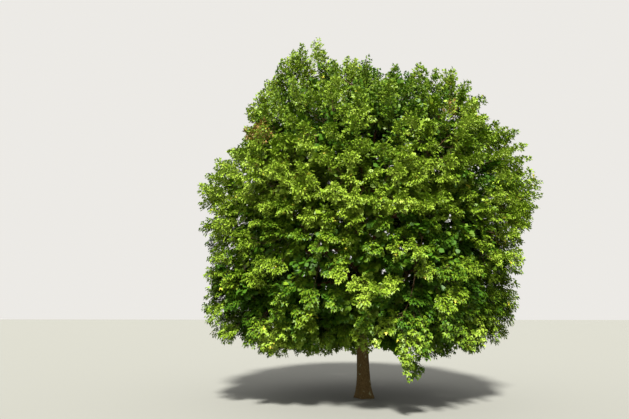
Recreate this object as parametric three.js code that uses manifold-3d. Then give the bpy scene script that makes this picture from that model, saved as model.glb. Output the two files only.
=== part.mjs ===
// A broad, open-grown maple in full leaf. A short trunk leans a little and carries boughs that spiral
// up it. Each bough ends in a mass of foliage, and the masses make one deep, round crown.
// Millimetres, +Z up. The trunk's foot is cut flat at ground level, with the origin at its middle.

import * as THREE from 'three'
import { mergeVertices } from 'three/addons/utils/BufferGeometryUtils.js'
import { ConvexGeometry } from 'three/addons/geometries/ConvexGeometry.js'
import Module from 'manifold-3d'

const wasm = await Module()
wasm.setup()

// Driving dimensions. Lengths are in millimetres and angles in degrees.

// The crown is a round form about a middle point over the foot. Its upper half is rounder than its
// lower half, which stands nearly plumb and ends level above the ground.
const CROWN = {
  middle: 4200,
  spread: 3250,
  rise: 3100,
  drop: 3270,
  upperFullness: 2.07,
  lowerFullness: 5.8,
}

// Where the crown stands out of that round form, or draws in where it grows by less than nothing: the
// turn from +X towards +Y, the tilt above level, the share that it grows by, and how widely it spreads.
const SWELLINGS = [
  { name: 'peak', turn: 236, tilt: 64, grow: 0.106, width: 0.02 },
  { name: 'left crest', turn: 222, tilt: 56, grow: 0.15, width: 0.03 },
  { name: 'right crest', turn: 308, tilt: 56, grow: 0.025, width: 0.03 },
  { name: 'right shoulder', turn: 322, tilt: 36, grow: 0.065, width: 0.04 },
  { name: 'right bulge', turn: 340, tilt: 10, grow: 0.14, width: 0.04 },
  { name: 'right side', turn: 338, tilt: -14, grow: 0.046, width: 0.05 },
  { name: 'left bulge', turn: 196, tilt: 8, grow: 0.09, width: 0.03 },
  { name: 'left side', turn: 198, tilt: -14, grow: 0.07, width: 0.05 },
  { name: 'left foot', turn: 206, tilt: -38, grow: 0.06, width: 0.04 },
  { name: 'front foot', turn: 262, tilt: -52, grow: -0.12, width: 0.08 },
  { name: 'right foot', turn: 325, tilt: -42, grow: -0.04, width: 0.04 },
  { name: 'hanging spray', turn: 291, tilt: -57, grow: 0.176, width: 0.012 },
]

// The trunk tapers to the crown's top and flares at its foot into low lobes over the roots.
const TRUNK = {
  foot: 145,
  top: 24,
  taper: 0.85,
  flare: 78,
  flareHeight: 190,
  lobes: 5,
  lobeShare: 0.3,
  footLevel: 12,
  sides: 12,
  steps: 10,
  crowding: 1.7,
}
const TRUNK_LINE = [
  new THREE.Vector3(0, 0, 0),
  new THREE.Vector3(-65, 20, 1900),
  new THREE.Vector3(20, -90, 3800),
  new THREE.Vector3(-190, -280, 5560),
]

// Each mass of foliage has a hub, where its stem ends, a set depth under the crown's outer form. The
// hubs go down the crown in an even spiral, and heights are shares of a globe's, from 1 to -1.
const HUBS = { count: 30, depth: 1000, top: 1.03, bottom: -0.952, turn: 236 }

// A main bough leaves the trunk low down for a low hub and high up for a high one, and arches more
// where it goes outwards than where it climbs.
const BOUGH = { base: 54, tip: 23, sides: 6, steps: 4, lowest: 1420, climb: 0.44 }
const BOUGH_ARCH = { at: 0.45, steep: 0.4, climbing: 0.05, spreading: 0.16 }
const MAIN_EVERY = 3
const TOP_BOUGHS = 2
const TOP_BOUGH_SHARE = 0.75

// A side bough leaves a main bough at one of a few places along it, where that is near and on the way.
const SIDE_BOUGH = { base: 38, tip: 20, sides: 5, steps: 3, parentShare: 0.8 }
const SIDE_PLACES = [0.2, 0.28, 0.36, 0.44, 0.52, 0.6]
const SIDE_TURN_COST = 1.6
const SIDE_ARCH = { at: 0.45, forward: 0.14, up: 0.06 }

const STEM = { length: 430, end: 13, sides: 5, steps: 2, topShare: 0.9 }
const JOINT_GAP = 0.35

// Shoots are twigs that carry a leaf at the end and one to each side. Leaves are larger than life,
// because each stands for a spray.
const SHOOT = { spacing: 960, reach: 0.78, depth: 0.07, upright: 0.72 }
const TWIG = { base: 20, tip: 12, sides: 3, steps: 1, first: 0.3, last: 0.95 }
const LEAF = { length: 780, vein: 0.2, thickness: 36, sunk: 30, sizes: [1, 0.82, 0.66] }
const LEAF_POINTS = { outwards: 0.35, hanging: 0.35, upright: 1, turns: [0, 40, -40, 80, -80] }
const LEAF_FACES = { outwards: 0.75, up: 0.5, toss: 0.35 }
const SIDE_LEAVES = [
  { along: 0.88, turn: 125 },
  { along: 0.68, turn: -120 },
]
const SIDE_LEAF_TOSS = { along: 0.05, turn: 20 }

// The core of a mass is a faceted cushion, and its girth and room are how far it may reach sideways.
const CORE = { sides: 8, girth: 1150, room: 0.92, bulge: 340, waist: 0.6, rim: 40, depth: 200, toss: 0.3 }
const SPACE_MARGIN = 12
const LIMB_CLEARANCE = 15
const SMALLEST_FEATURE = 0.4

const BARK = { color: 0x5a4a34, roughness: 0.92, metalness: 0 }
const LEAF_GREENS = [0x5b7a26, 0x6d8c33, 0x4d6a20]
const LEAF_ROUGHNESS = 0.7

const UP = new THREE.Vector3(0, 0, 1)
const MIDDLE = new THREE.Vector3(0, 0, CROWN.middle)
const GOLDEN_TURN = 180 * (3 - Math.sqrt(5))
const { degToRad, lerp, mapLinear, radToDeg } = THREE.MathUtils

// Seeded chance, so that the tree grows the same way every time.
let chance = 20
function random() {
  chance = (chance * 1664525 + 1013904223) % 4294967296
  return chance / 4294967296
}

function toss(amount) {
  return (random() * 2 - 1) * amount
}

// Directions out of the crown's middle, and the outer form that they meet.

function wayOf(turn, tilt) {
  const flat = Math.cos(degToRad(tilt))
  const angle = degToRad(turn)
  return new THREE.Vector3(flat * Math.cos(angle), flat * Math.sin(angle), Math.sin(degToRad(tilt)))
}

function wayTo(point) {
  return point.clone().sub(MIDDLE).normalize()
}

// A direction square to another, turned round it from the steepest way down.
function acrossFrom(way, turn) {
  const down = UP.clone().negate().addScaledVector(way, way.z).normalize()
  return down.applyAxisAngle(way, degToRad(turn))
}

const swellingWays = SWELLINGS.map(({ turn, tilt }) => wayOf(turn, tilt))

function crownReach(way) {
  const upper = way.z > 0
  const flat = Math.hypot(way.x, way.y) / CROWN.spread
  const high = Math.abs(way.z) / (upper ? CROWN.rise : CROWN.drop)
  const fullness = upper ? CROWN.upperFullness : CROWN.lowerFullness
  const swell = SWELLINGS.reduce((sum, { grow, width }, k) => {
    return sum + grow * Math.exp((way.dot(swellingWays[k]) - 1) / width)
  }, 1)
  return swell * (flat ** fullness + high ** fullness) ** (-1 / fullness)
}

function crownPoint(way, reach) {
  return MIDDLE.clone().addScaledVector(way, reach)
}

const hubs = Array.from({ length: HUBS.count }, (_, k) => {
  const height = lerp(HUBS.top, HUBS.bottom, (k + 0.5) / HUBS.count)
  const way = wayOf(HUBS.turn + k * GOLDEN_TURN, radToDeg(Math.asin(height)))
  return crownPoint(way, crownReach(way) - HUBS.depth)
})

// The space of a mass is every point nearer to its hub than to any other hub.

function keepsToSpace(geometry, mass) {
  const position = geometry.attributes.position
  const point = new THREE.Vector3()
  return hubs.every((hub, k) => {
    if (k === mass) return true
    const between = hub.clone().sub(hubs[mass])
    const limit = hub.clone().add(hubs[mass]).dot(between) / 2 - SPACE_MARGIN * between.length()
    for (let i = 0; i < position.count; i++) {
      if (point.fromBufferAttribute(position, i).dot(between) > limit) return false
    }
    return true
  })
}

// How far a mass's space goes from its hub in a direction.
function roomTo(mass, direction) {
  const rooms = hubs.filter((_, k) => k !== mass).map((hub) => {
    const between = hub.clone().sub(hubs[mass])
    const slant = direction.dot(between) / between.length()
    return slant > 0 ? between.length() / 2 / slant : Infinity
  })
  return Math.min(CORE.girth, ...rooms)
}

// Solids

function solidOf(geometry) {
  geometry.deleteAttribute('normal')
  geometry.deleteAttribute('uv')
  const merged = mergeVertices(geometry, 0.001)
  const mesh = new wasm.Mesh({
    numProp: 3,
    vertProperties: merged.attributes.position.array,
    triVerts: Uint32Array.from(merged.index.array),
  })
  return new wasm.Manifold(mesh)
}

function geometryOf(solid) {
  const { vertProperties, triVerts } = solid.getMesh()
  const indexed = new THREE.BufferGeometry()
  indexed.setAttribute('position', new THREE.BufferAttribute(vertProperties, 3))
  indexed.setIndex(new THREE.BufferAttribute(triVerts, 1))
  const geometry = indexed.toNonIndexed()
  geometry.computeVertexNormals()
  return geometry
}

// The largest piece of a solid, without loose scraps and with any sealed hollow filled.
function mainBody(solid) {
  const pieces = solid.simplify(SMALLEST_FEATURE).decompose()
  return pieces.reduce((best, piece) => (piece.volume() > best.volume() ? piece : best))
}

function touches(solid, other) {
  return !solid.intersect(other).isEmpty()
}

// Limbs: a route is a curve with a fixed direction that lies across it.

function bentRoute(from, control, to, across) {
  const curve = new THREE.QuadraticBezierCurve3(from, control, to)
  const square = control.clone().sub(from).cross(to.clone().sub(control)).normalize()
  return { curve, across: across ?? square, length: curve.getLength() }
}

function straightRoute(from, to) {
  const curve = new THREE.LineCurve3(from, to)
  return { curve, across: acrossFrom(curve.getTangentAt(0), 0), length: curve.getLength() }
}

// A tapering limb along part of a route. The radius may change along it and round it, and with a
// crowding over 1 the steps lie closer together at its start.
function limbGeometry({ curve, across }, from, to, radiusAt, { sides, steps, crowding = 1 }) {
  const geometry = new THREE.CylinderGeometry(1, 1, 1, sides, steps)
  const position = geometry.attributes.position
  for (let i = 0; i < position.count; i++) {
    const along = lerp(from, to, (position.getY(i) + 0.5) ** crowding)
    const tangent = curve.getTangentAt(along)
    const side = tangent.clone().cross(across).normalize()
    const front = side.clone().cross(tangent)
    const x = position.getX(i)
    const z = position.getZ(i)
    const radius = radiusAt(along, Math.atan2(z, x))
    const point = curve.getPointAt(along)
    point.addScaledVector(side, x * radius).addScaledVector(front, z * radius)
    position.setXYZ(i, point.x, point.y, point.z)
  }
  return geometry
}

// Trunk

const trunkRoute = {
  curve: new THREE.CubicBezierCurve3(...TRUNK_LINE),
  across: new THREE.Vector3(0, 1, 0),
}
const trunkLength = trunkRoute.curve.getLength()

function trunkRadius(along, angle) {
  const shaft = TRUNK.top + (TRUNK.foot - TRUNK.top) * (1 - along) ** TRUNK.taper
  const lobe = 1 + TRUNK.lobeShare * Math.cos(TRUNK.lobes * angle)
  return shaft + TRUNK.flare * lobe * Math.exp((-along * trunkLength) / TRUNK.flareHeight)
}

function trunkSolid(grown) {
  const radiusAt = (along, angle) => trunkRadius(along, angle) + grown
  const geometry = limbGeometry(trunkRoute, 0, 1, radiusAt, TRUNK)
  const position = geometry.attributes.position
  for (let i = 0; i < position.count; i++) {
    if (position.getZ(i) < TRUNK.footLevel) position.setZ(i, 0)
  }
  return solidOf(geometry)
}

// Boughs. Every third one is a main bough and leaves the trunk, and so do the two next to the top and
// the lowest one. The others leave a main bough that reaches towards them.

function mainRoute(hub) {
  const height = BOUGH.lowest + BOUGH.climb * (hub.z - BOUGH.lowest)
  const from = trunkRoute.curve.getPointAt(height / trunkLength)
  const reach = from.distanceTo(hub)
  const climbs = hub.z - from.z > BOUGH_ARCH.steep * reach
  const control = from.clone().lerp(hub, BOUGH_ARCH.at)
  control.addScaledVector(UP, reach * (climbs ? BOUGH_ARCH.climbing : BOUGH_ARCH.spreading))
  return bentRoute(from, control, hub)
}

function sidePlace(hub, mains) {
  const places = mains.flatMap((parent) => {
    return SIDE_PLACES.map((along) => {
      const from = parent.route.curve.getPointAt(along)
      const tangent = parent.route.curve.getTangentAt(along)
      const line = hub.clone().sub(from)
      const cost = line.length() * (SIDE_TURN_COST - Math.cos(line.angleTo(tangent)))
      return { from, tangent, cost, room: SIDE_BOUGH.parentShare * parent.radiusAt(along) }
    })
  })
  return places.reduce((best, place) => (place.cost < best.cost ? place : best))
}

function sideRoute(hub, { from, tangent }) {
  const reach = from.distanceTo(hub)
  const control = from.clone().lerp(hub, SIDE_ARCH.at)
  control.addScaledVector(tangent, SIDE_ARCH.forward * reach)
  control.addScaledVector(UP, SIDE_ARCH.up * reach)
  return bentRoute(from, control, hub)
}

// A bough tapers to where it enters its mass, and the mass's stem goes on from there to the hub.
function makeBough(mass, route, base, size) {
  const end = 1 - STEM.length / route.length
  const radiusAt = (along) => mapLinear(Math.min(along, end), 0, end, base, size.tip)
  return { mass, route, end, radiusAt, size }
}

function boughSolid({ route, end, radiusAt, size }, grown) {
  const to = end + grown / route.length
  return solidOf(limbGeometry(route, 0, to, (along) => radiusAt(along) + grown, size))
}

function isMain(mass) {
  return mass <= TOP_BOUGHS || mass % MAIN_EVERY === 0 || mass === HUBS.count - 1
}

const masses = hubs.map((_, mass) => mass)
const mains = masses.slice(1).filter(isMain).map((mass) => {
  const base = BOUGH.base * (mass <= TOP_BOUGHS ? TOP_BOUGH_SHARE : 1)
  return makeBough(mass, mainRoute(hubs[mass]), base, BOUGH)
})
const sides = masses.slice(1).filter((mass) => !isMain(mass)).map((mass) => {
  const place = sidePlace(hubs[mass], mains)
  const base = Math.min(SIDE_BOUGH.base, place.room)
  return makeBough(mass, sideRoute(hubs[mass], place), base, SIDE_BOUGH)
})
const boughs = [...mains, ...sides]

// Each bough is cut clear of the trunk and of the boughs before it, so it starts where it leaves them.
let limbsSoFar = trunkSolid(JOINT_GAP)
let limbsWide = trunkSolid(LIMB_CLEARANCE)
for (const bough of boughs) {
  bough.solid = mainBody(boughSolid(bough, 0).subtract(limbsSoFar))
  limbsSoFar = limbsSoFar.add(boughSolid(bough, JOINT_GAP))
  limbsWide = limbsWide.add(boughSolid(bough, LIMB_CLEARANCE))
}

// Leaves: a blade with three points, thickest where its veins meet. Each corner has its angle from
// the tip and its distance as a share of the length, both from where the veins meet.
const BLADE = [
  [0, 1 - LEAF.vein],
  [36, 0.34],
  [74, 0.55],
  [180, LEAF.vein],
  [286, 0.55],
  [324, 0.34],
]

function leafGeometry(root, tip, face, size) {
  const length = LEAF.length * size
  const wide = face.clone().cross(tip)
  const veins = root.clone().addScaledVector(tip, LEAF.vein * length)
  const geometry = new THREE.ConeGeometry(1, 1, BLADE.length, 1)
  const position = geometry.attributes.position
  for (let i = 0; i < position.count; i++) {
    const x = position.getX(i)
    const z = position.getZ(i)
    const point = veins.clone()
    if (Math.hypot(x, z) < 0.5) {
      point.addScaledVector(face, position.getY(i) * LEAF.thickness * size)
    } else {
      const corner = Math.round((Math.atan2(x, z) / (2 * Math.PI)) * BLADE.length)
      const [angle, distance] = BLADE.at(corner % BLADE.length)
      point.addScaledVector(wide, Math.sin(degToRad(angle)) * distance * length)
      point.addScaledVector(tip, Math.cos(degToRad(angle)) * distance * length)
    }
    position.setXYZ(i, point.x, point.y, point.z)
  }
  return geometry
}

// The way a leaf points: along the crown's outer form, a little outwards and hanging. A leaf near
// the top stands upright.
function leafTip(way, turn) {
  const lift = way.z > SHOOT.upright ? LEAF_POINTS.upright : -LEAF_POINTS.hanging
  const tip = acrossFrom(way, turn).addScaledVector(way, LEAF_POINTS.outwards)
  return tip.addScaledVector(UP, lift).normalize()
}

// A leaf turns its face outwards and up, as far as the way it points lets it.
function leafFace(tip, way) {
  const amount = LEAF_FACES.toss
  const face = new THREE.Vector3(toss(amount), toss(amount), toss(amount))
  face.addScaledVector(way, LEAF_FACES.outwards).addScaledVector(UP, LEAF_FACES.up)
  return face.addScaledVector(tip, -tip.dot(face)).normalize()
}

// Tries a leaf at full size and then smaller, each turned a little at a time, and gives the first
// that keeps to the mass's space and clear of the limbs and of the mass's other pieces, or nothing.
function leafThatFits(mass, way, root, turn, others) {
  for (const size of LEAF.sizes) {
    for (const more of LEAF_POINTS.turns) {
      const tip = leafTip(way, turn + more)
      const geometry = leafGeometry(root, tip, leafFace(tip, way), size)
      if (!keepsToSpace(geometry, mass)) continue
      const leaf = solidOf(geometry)
      if (!touches(leaf, limbsWide) && !others.some((other) => touches(leaf, other))) return leaf
    }
  }
  return null
}

// Shoots. The end leaf's tip comes to the crown's outer form.

function shootAt(way, turn, depth) {
  const tip = leafTip(way, turn)
  const reach = crownReach(way) * (1 - depth)
  return { way, turn, tip, root: crownPoint(way, reach - LEAF.length * tip.dot(way)) }
}

// The shoots of a mass lie round its middle as the seeds of a sunflower do, more in a wider mass.
function spreadShoots(mass) {
  const way = wayTo(hubs[mass])
  const rooms = Array.from({ length: CORE.sides }, (_, k) => {
    return roomTo(mass, acrossFrom(way, (360 / CORE.sides) * k))
  })
  const area = (Math.PI * rooms.reduce((sum, room) => sum + room ** 2, 0)) / rooms.length
  const count = Math.round(area / SHOOT.spacing ** 2)
  const first = random() * 360
  return Array.from({ length: count }, (_, k) => {
    const across = acrossFrom(way, first + k * GOLDEN_TURN)
    const out = SHOOT.reach * Math.sqrt((k + 0.5) / count) * roomTo(mass, across)
    const site = hubs[mass].clone().addScaledVector(across, out)
    return shootAt(wayTo(site), toss(180), SHOOT.depth * random())
  })
}

// One more shoot ends right at the middle of each swelling, in the mass that it comes nearest to.
function swellingShoots(mass) {
  const shoots = swellingWays.filter((_, k) => SWELLINGS[k].grow > 0).map((way) => {
    const tip = leafTip(way, 0)
    const root = crownPoint(way, crownReach(way)).addScaledVector(tip, -LEAF.length)
    return { way, turn: 0, tip, root }
  })
  return shoots.filter(({ root }) => {
    return hubs.every((hub) => hub.distanceTo(root) >= hubs[mass].distanceTo(root))
  })
}

function twigTo(root, stem, share, mass) {
  const along = lerp(stem.from, 1, lerp(TWIG.first, TWIG.last, share))
  const route = straightRoute(stem.curve.getPointAt(along), root)
  const geometry = limbGeometry(route, 0, 1, (place) => lerp(TWIG.base, TWIG.tip, place), TWIG)
  if (!keepsToSpace(geometry, mass)) return null
  const solid = solidOf(geometry)
  return touches(solid, limbsWide) ? null : { route, solid }
}

// Masses

function coreSolid(mass) {
  const hub = hubs[mass]
  const way = wayTo(hub)
  const points = [hub.clone().addScaledVector(way, -CORE.depth)]
  for (let k = 0; k < CORE.sides; k++) {
    const across = acrossFrom(way, (360 / CORE.sides) * (k + toss(CORE.toss)))
    const girth = CORE.room * roomTo(mass, across)
    const waist = CORE.waist * girth
    points.push(hub.clone().addScaledVector(across, girth).addScaledVector(way, CORE.rim))
    points.push(hub.clone().addScaledVector(across, waist).addScaledVector(way, CORE.bulge))
  }
  return mainBody(solidOf(new ConvexGeometry(points)).subtract(limbsWide))
}

// The stem starts a hair's breadth past the tip of its bough, or of the trunk at the very top.
function stemOf(mass) {
  const bough = boughs.find((each) => each.mass === mass)
  if (bough) {
    const from = bough.end + JOINT_GAP / bough.route.length
    return { ...bough.route, from, radius: bough.size.tip }
  }
  const from = trunkRoute.curve.getPointAt(1)
  const onwards = trunkRoute.curve.getTangentAt(1).multiplyScalar(STEM.length / 2)
  const route = bentRoute(from, from.clone().add(onwards), hubs[mass], trunkRoute.across)
  return { ...route, from: JOINT_GAP / route.length, radius: TRUNK.top * STEM.topShare }
}

// A mass is its stem, twigs, leaves and core, fused into one solid.
function massSolid(mass) {
  const stem = stemOf(mass)
  const stemRadius = (along) => mapLinear(along, stem.from, 1, stem.radius, STEM.end)
  const body = solidOf(limbGeometry(stem, stem.from, 1, stemRadius, STEM))
  const sited = [...swellingShoots(mass), ...spreadShoots(mass)]
  const grown = sited.map((shoot, k) => {
    return { ...shoot, twig: twigTo(shoot.root, stem, (k + 0.5) / sited.length, mass) }
  })
  const shoots = grown.filter(({ twig }) => twig)
  const twigs = shoots.map(({ twig }) => twig.solid)
  const leaves = []
  const addLeaf = ({ way, twig }, root, turn) => {
    const others = [...twigs.filter((solid) => solid !== twig.solid), ...leaves]
    const leaf = leafThatFits(mass, way, root, turn, others)
    if (leaf) leaves.push(leaf)
  }
  for (const shoot of shoots) {
    addLeaf(shoot, shoot.root.clone().addScaledVector(shoot.tip, -LEAF.sunk), shoot.turn)
  }
  for (const shoot of shoots) {
    for (const { along, turn } of SIDE_LEAVES) {
      const root = shoot.twig.route.curve.getPointAt(along + toss(SIDE_LEAF_TOSS.along))
      addLeaf(shoot, root, shoot.turn + turn + toss(SIDE_LEAF_TOSS.turn))
    }
  }
  return mainBody(wasm.Manifold.union([body, coreSolid(mass), ...twigs, ...leaves]))
}

// Assembly

const tree = new THREE.Group()
tree.name = 'maple_tree'

function addPiece(name, solid, finish) {
  const mesh = new THREE.Mesh(geometryOf(solid), new THREE.MeshStandardMaterial(finish))
  mesh.name = name
  tree.add(mesh)
}

function numbered(name, mass) {
  return `${name}_${String(mass).padStart(2, '0')}`
}

addPiece('trunk', trunkSolid(0), BARK)
for (const { mass, solid } of boughs) {
  addPiece(numbered('bough', mass), solid, BARK)
}
for (const mass of masses) {
  const color = LEAF_GREENS[mass % LEAF_GREENS.length]
  const finish = { color, roughness: LEAF_ROUGHNESS, metalness: 0 }
  addPiece(numbered('foliage', mass), massSolid(mass), finish)
}

export default tree
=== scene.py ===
import math
import random

import bmesh
import bpy
import numpy as np
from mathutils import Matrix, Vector, kdtree, noise


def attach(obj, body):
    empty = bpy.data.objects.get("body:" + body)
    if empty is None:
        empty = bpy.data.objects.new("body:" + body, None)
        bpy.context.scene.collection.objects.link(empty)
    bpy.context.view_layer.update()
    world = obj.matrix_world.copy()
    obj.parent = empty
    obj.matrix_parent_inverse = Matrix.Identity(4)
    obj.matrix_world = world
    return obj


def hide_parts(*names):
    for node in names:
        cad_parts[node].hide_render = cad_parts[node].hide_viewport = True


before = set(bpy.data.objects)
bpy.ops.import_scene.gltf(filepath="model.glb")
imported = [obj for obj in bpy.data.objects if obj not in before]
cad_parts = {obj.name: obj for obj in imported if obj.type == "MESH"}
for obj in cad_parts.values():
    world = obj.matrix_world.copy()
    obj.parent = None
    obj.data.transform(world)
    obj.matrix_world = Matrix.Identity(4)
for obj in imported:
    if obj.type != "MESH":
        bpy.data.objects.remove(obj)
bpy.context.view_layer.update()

# The tree is seen from standing eye height, well below the middle of the crown. Every length in this
# file is in metres and every angle in degrees, unless its name or a comment says otherwise.

LENS_MM = 29
SENSOR_MM = 36
EYE = Vector((0, -11.5, 1.75))
LOOKS_UP = 11.65
LOOKS_LEFT = 5.34

lens = bpy.data.cameras.new("eye")
lens.lens = LENS_MM
lens.sensor_width = SENSOR_MM
eye = bpy.data.objects.new("eye", lens)
eye.location = EYE
eye.rotation_euler = (math.radians(90 + LOOKS_UP), 0, math.radians(LOOKS_LEFT))
bpy.context.scene.collection.objects.link(eye)
bpy.context.scene.camera = eye


# The crown's outer form, near which all growth stops. It is a round form about a middle point over
# the foot, and it swells where the tree has its peak, its bulges and the spray that hangs low in
# front, and sinks in between.

CROWN_MIDDLE = Vector((0, 0, 4.2))
CROWN_SPREAD = 3.25
CROWN_RISE = 3.1
CROWN_DROP = 3.27
UPPER_FULLNESS = 2.07
LOWER_FULLNESS = 5.8
SWELLINGS = [
    {"turn": 236, "tilt": 64, "grow": 0.106, "width": 0.02},
    {"turn": 222, "tilt": 56, "grow": 0.15, "width": 0.03},
    {"turn": 308, "tilt": 56, "grow": 0.025, "width": 0.03},
    {"turn": 322, "tilt": 36, "grow": 0.065, "width": 0.04},
    {"turn": 340, "tilt": 10, "grow": 0.14, "width": 0.04},
    {"turn": 338, "tilt": -14, "grow": 0.046, "width": 0.05},
    {"turn": 196, "tilt": 8, "grow": 0.09, "width": 0.03},
    {"turn": 198, "tilt": -14, "grow": 0.07, "width": 0.05},
    {"turn": 206, "tilt": -38, "grow": 0.06, "width": 0.04},
    {"turn": 262, "tilt": -52, "grow": -0.12, "width": 0.08},
    {"turn": 325, "tilt": -42, "grow": -0.04, "width": 0.04},
    {"turn": 291, "tilt": -57, "grow": 0.176, "width": 0.012},
]


def way_of(turn, tilt):
    flat = math.cos(math.radians(tilt))
    angle = math.radians(turn)
    return Vector((flat * math.cos(angle), flat * math.sin(angle), math.sin(math.radians(tilt))))


for swelling in SWELLINGS:
    swelling["way"] = way_of(swelling["turn"], swelling["tilt"])


def crown_reach(way):
    upper = way.z > 0
    flat = math.hypot(way.x, way.y) / CROWN_SPREAD
    high = abs(way.z) / (CROWN_RISE if upper else CROWN_DROP)
    fullness = UPPER_FULLNESS if upper else LOWER_FULLNESS
    swell = 1.0
    for each in SWELLINGS:
        swell += each["grow"] * math.exp((way.dot(each["way"]) - 1) / each["width"])
    return swell * (flat**fullness + high**fullness) ** (-1 / fullness)


# Trunk: one stem of wood under grey-brown bark that has split into long, shallow plates. It leans a
# little, tapers to the crown's top and flares at its foot into low lobes over the roots.

TRUNK_LINE = [Vector(p) for p in [(0, 0, 0), (-0.065, 0.02, 1.9), (0.02, -0.09, 3.8), (-0.19, -0.28, 5.56)]]
TRUNK_FOOT = 0.145
TRUNK_TOP = 0.024
TRUNK_TAPER = 0.85
FLARE = 0.078
FLARE_HEIGHT = 0.19
FLARE_LOBES = 5
FLARE_LOBE_SHARE = 0.3
TRUNK_SIDES = 112
TRUNK_RINGS = 240
TRUNK_CROWDING = 1.5
FOOT_LEVEL = 0.012
PLATE_WIDE = 0.024
PLATE_LONG = 0.13
PLATE_EDGE = 0.3
PLATE_ROUNDNESS = 0.7
FURROW_DEEP = 0.0055
FURROW_BENDS = 0.6
FURROW_STRAY = 0.7
FURROW_SEED = 12
GRIT_DEEP = 0.0012
GRIT_WIDE = 0.006
GRIT_STRETCH = 3
ROUTE_STEPS = 96
SAME_PLACE = 1e-5


def even_route(line):
    """The line with its points an even way apart, and its length."""
    spans = [0.0]
    for near, far in zip(line, line[1:]):
        spans.append(spans[-1] + (far - near).length)
    places = np.linspace(0, spans[-1], ROUTE_STEPS + 1)
    columns = [np.interp(places, spans, [point[k] for point in line]) for k in range(3)]
    return {"points": [Vector(p) for p in zip(*columns)], "length": spans[-1]}


def cubic_route(a, b, c, d):
    shares = np.linspace(0, 1, 4 * ROUTE_STEPS + 1).tolist()
    return even_route([
        a * (1 - t) ** 3 + b * 3 * t * (1 - t) ** 2 + c * 3 * t**2 * (1 - t) + d * t**3 for t in shares
    ])


def point_at(route, along):
    place = min(max(along, 0.0), 1.0) * ROUTE_STEPS
    low = min(int(place), ROUTE_STEPS - 1)
    return route["points"][low].lerp(route["points"][low + 1], place - low)


def tangent_at(route, along):
    low = min(int(min(max(along, 0.0), 1.0) * ROUTE_STEPS), ROUTE_STEPS - 1)
    return (route["points"][low + 1] - route["points"][low]).normalized()


trunk_route = cubic_route(*TRUNK_LINE)
trunk_route["across"] = Vector((0, 1, 0))


def trunk_radius(along, angle):
    shaft = TRUNK_TOP + (TRUNK_FOOT - TRUNK_TOP) * (1 - along) ** TRUNK_TAPER
    lobe = 1 + FLARE_LOBE_SHARE * math.cos(FLARE_LOBES * angle)
    return shaft + FLARE * lobe * math.exp(-along * trunk_route["length"] / FLARE_HEIGHT)


# Without a seed, noise_vector takes its pattern from the clock.
noise.seed_set(FURROW_SEED)


def furrows(grain, wide, long):
    """0 deep in a furrow between two plates of bark, and 1 on a plate. Grain is along the limb in z."""
    place = Vector((grain.x / wide, grain.y / wide, grain.z / long))
    place += noise.noise_vector(place * FURROW_BENDS) * FURROW_STRAY
    distances, _ = noise.voronoi(place)
    return min(1.0, (distances[1] - distances[0]) / PLATE_EDGE)


def trunk_relief(grain):
    plate = furrows(grain, PLATE_WIDE, PLATE_LONG)
    grit = noise.noise(Vector((grain.x, grain.y, grain.z / GRIT_STRETCH)) / GRIT_WIDE)
    return FURROW_DEEP * (plate**PLATE_ROUNDNESS - 1) + GRIT_DEEP * grit


def grow_limb(bm, route, start, end, radius_at, relief_at, sides, rings, crowding=1.0):
    """Adds a limb along part of a route, with its relief, and keeps each point's place in the grain."""
    grain_layer = bm.verts.layers.float_vector["grain"]
    made = bmesh.ops.create_grid(bm, x_segments=rings, y_segments=sides, size=0.5)["verts"]
    shares = [start + (end - start) * (k / rings) ** crowding for k in range(rings + 1)]
    frames = []
    for along in shares:
        tangent = tangent_at(route, along)
        side = tangent.cross(route["across"]).normalized()
        frames.append((along, point_at(route, along), side, side.cross(tangent)))
    for vert in made:
        along, middle, side, front = frames[round((vert.co.x + 0.5) * rings)]
        angle = round((vert.co.y + 0.5) * sides) % sides * 2 * math.pi / sides
        radius = radius_at(along, angle)
        grain = Vector((math.cos(angle) * radius, math.sin(angle) * radius, along * route["length"]))
        radius += relief_at(grain)
        vert.co = middle + side * (math.cos(angle) * radius) + front * (math.sin(angle) * radius)
        vert[grain_layer] = grain
    bmesh.ops.remove_doubles(bm, verts=made, dist=SAME_PLACE)


def finish_limbs(bm, name, bark):
    """Closes the ends of the limbs and makes them one piece, shaded smooth."""
    bmesh.ops.holes_fill(bm, edges=[edge for edge in bm.edges if edge.is_boundary], sides=0)
    bmesh.ops.recalc_face_normals(bm, faces=bm.faces)
    mesh = bpy.data.meshes.new(name)
    bm.to_mesh(mesh)
    bm.free()
    mesh.shade_smooth()
    mesh.materials.append(bark)
    piece = bpy.data.objects.new(name, mesh)
    bpy.context.scene.collection.objects.link(piece)
    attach(piece, "root")
    return piece


def colour(text):
    """An sRGB hex value as Blender's linear colour."""
    shares = [int(text[k:k + 2], 16) / 255 for k in (1, 3, 5)]
    return [s / 12.92 if s <= 0.04045 else ((s + 0.055) / 1.055) ** 2.4 for s in shares] + [1.0]


def add_node(material, kind, settings, inputs):
    """Adds a node, sets its settings, and sets or links its inputs."""
    node = material.node_tree.nodes.new(kind)
    for name, value in settings.items():
        setattr(node, name, value)
    for name, value in inputs.items():
        if isinstance(value, bpy.types.NodeSocket):
            material.node_tree.links.new(value, node.inputs[name])
        else:
            node.inputs[name].default_value = value
    return node


def new_material(name):
    """A material with its one shader, which each material's section sets."""
    material = bpy.data.materials.new(name)
    material.use_nodes = True
    return material, material.node_tree.nodes["Principled BSDF"]


def set_ramp(node, stops):
    """Gives a colour ramp its places and colours."""
    ramp = node.color_ramp
    while len(ramp.elements) < len(stops):
        ramp.elements.new(0.5)
    for element, (place, hex_value) in zip(ramp.elements, stops):
        element.position = place
        element.color = colour(hex_value)


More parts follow.
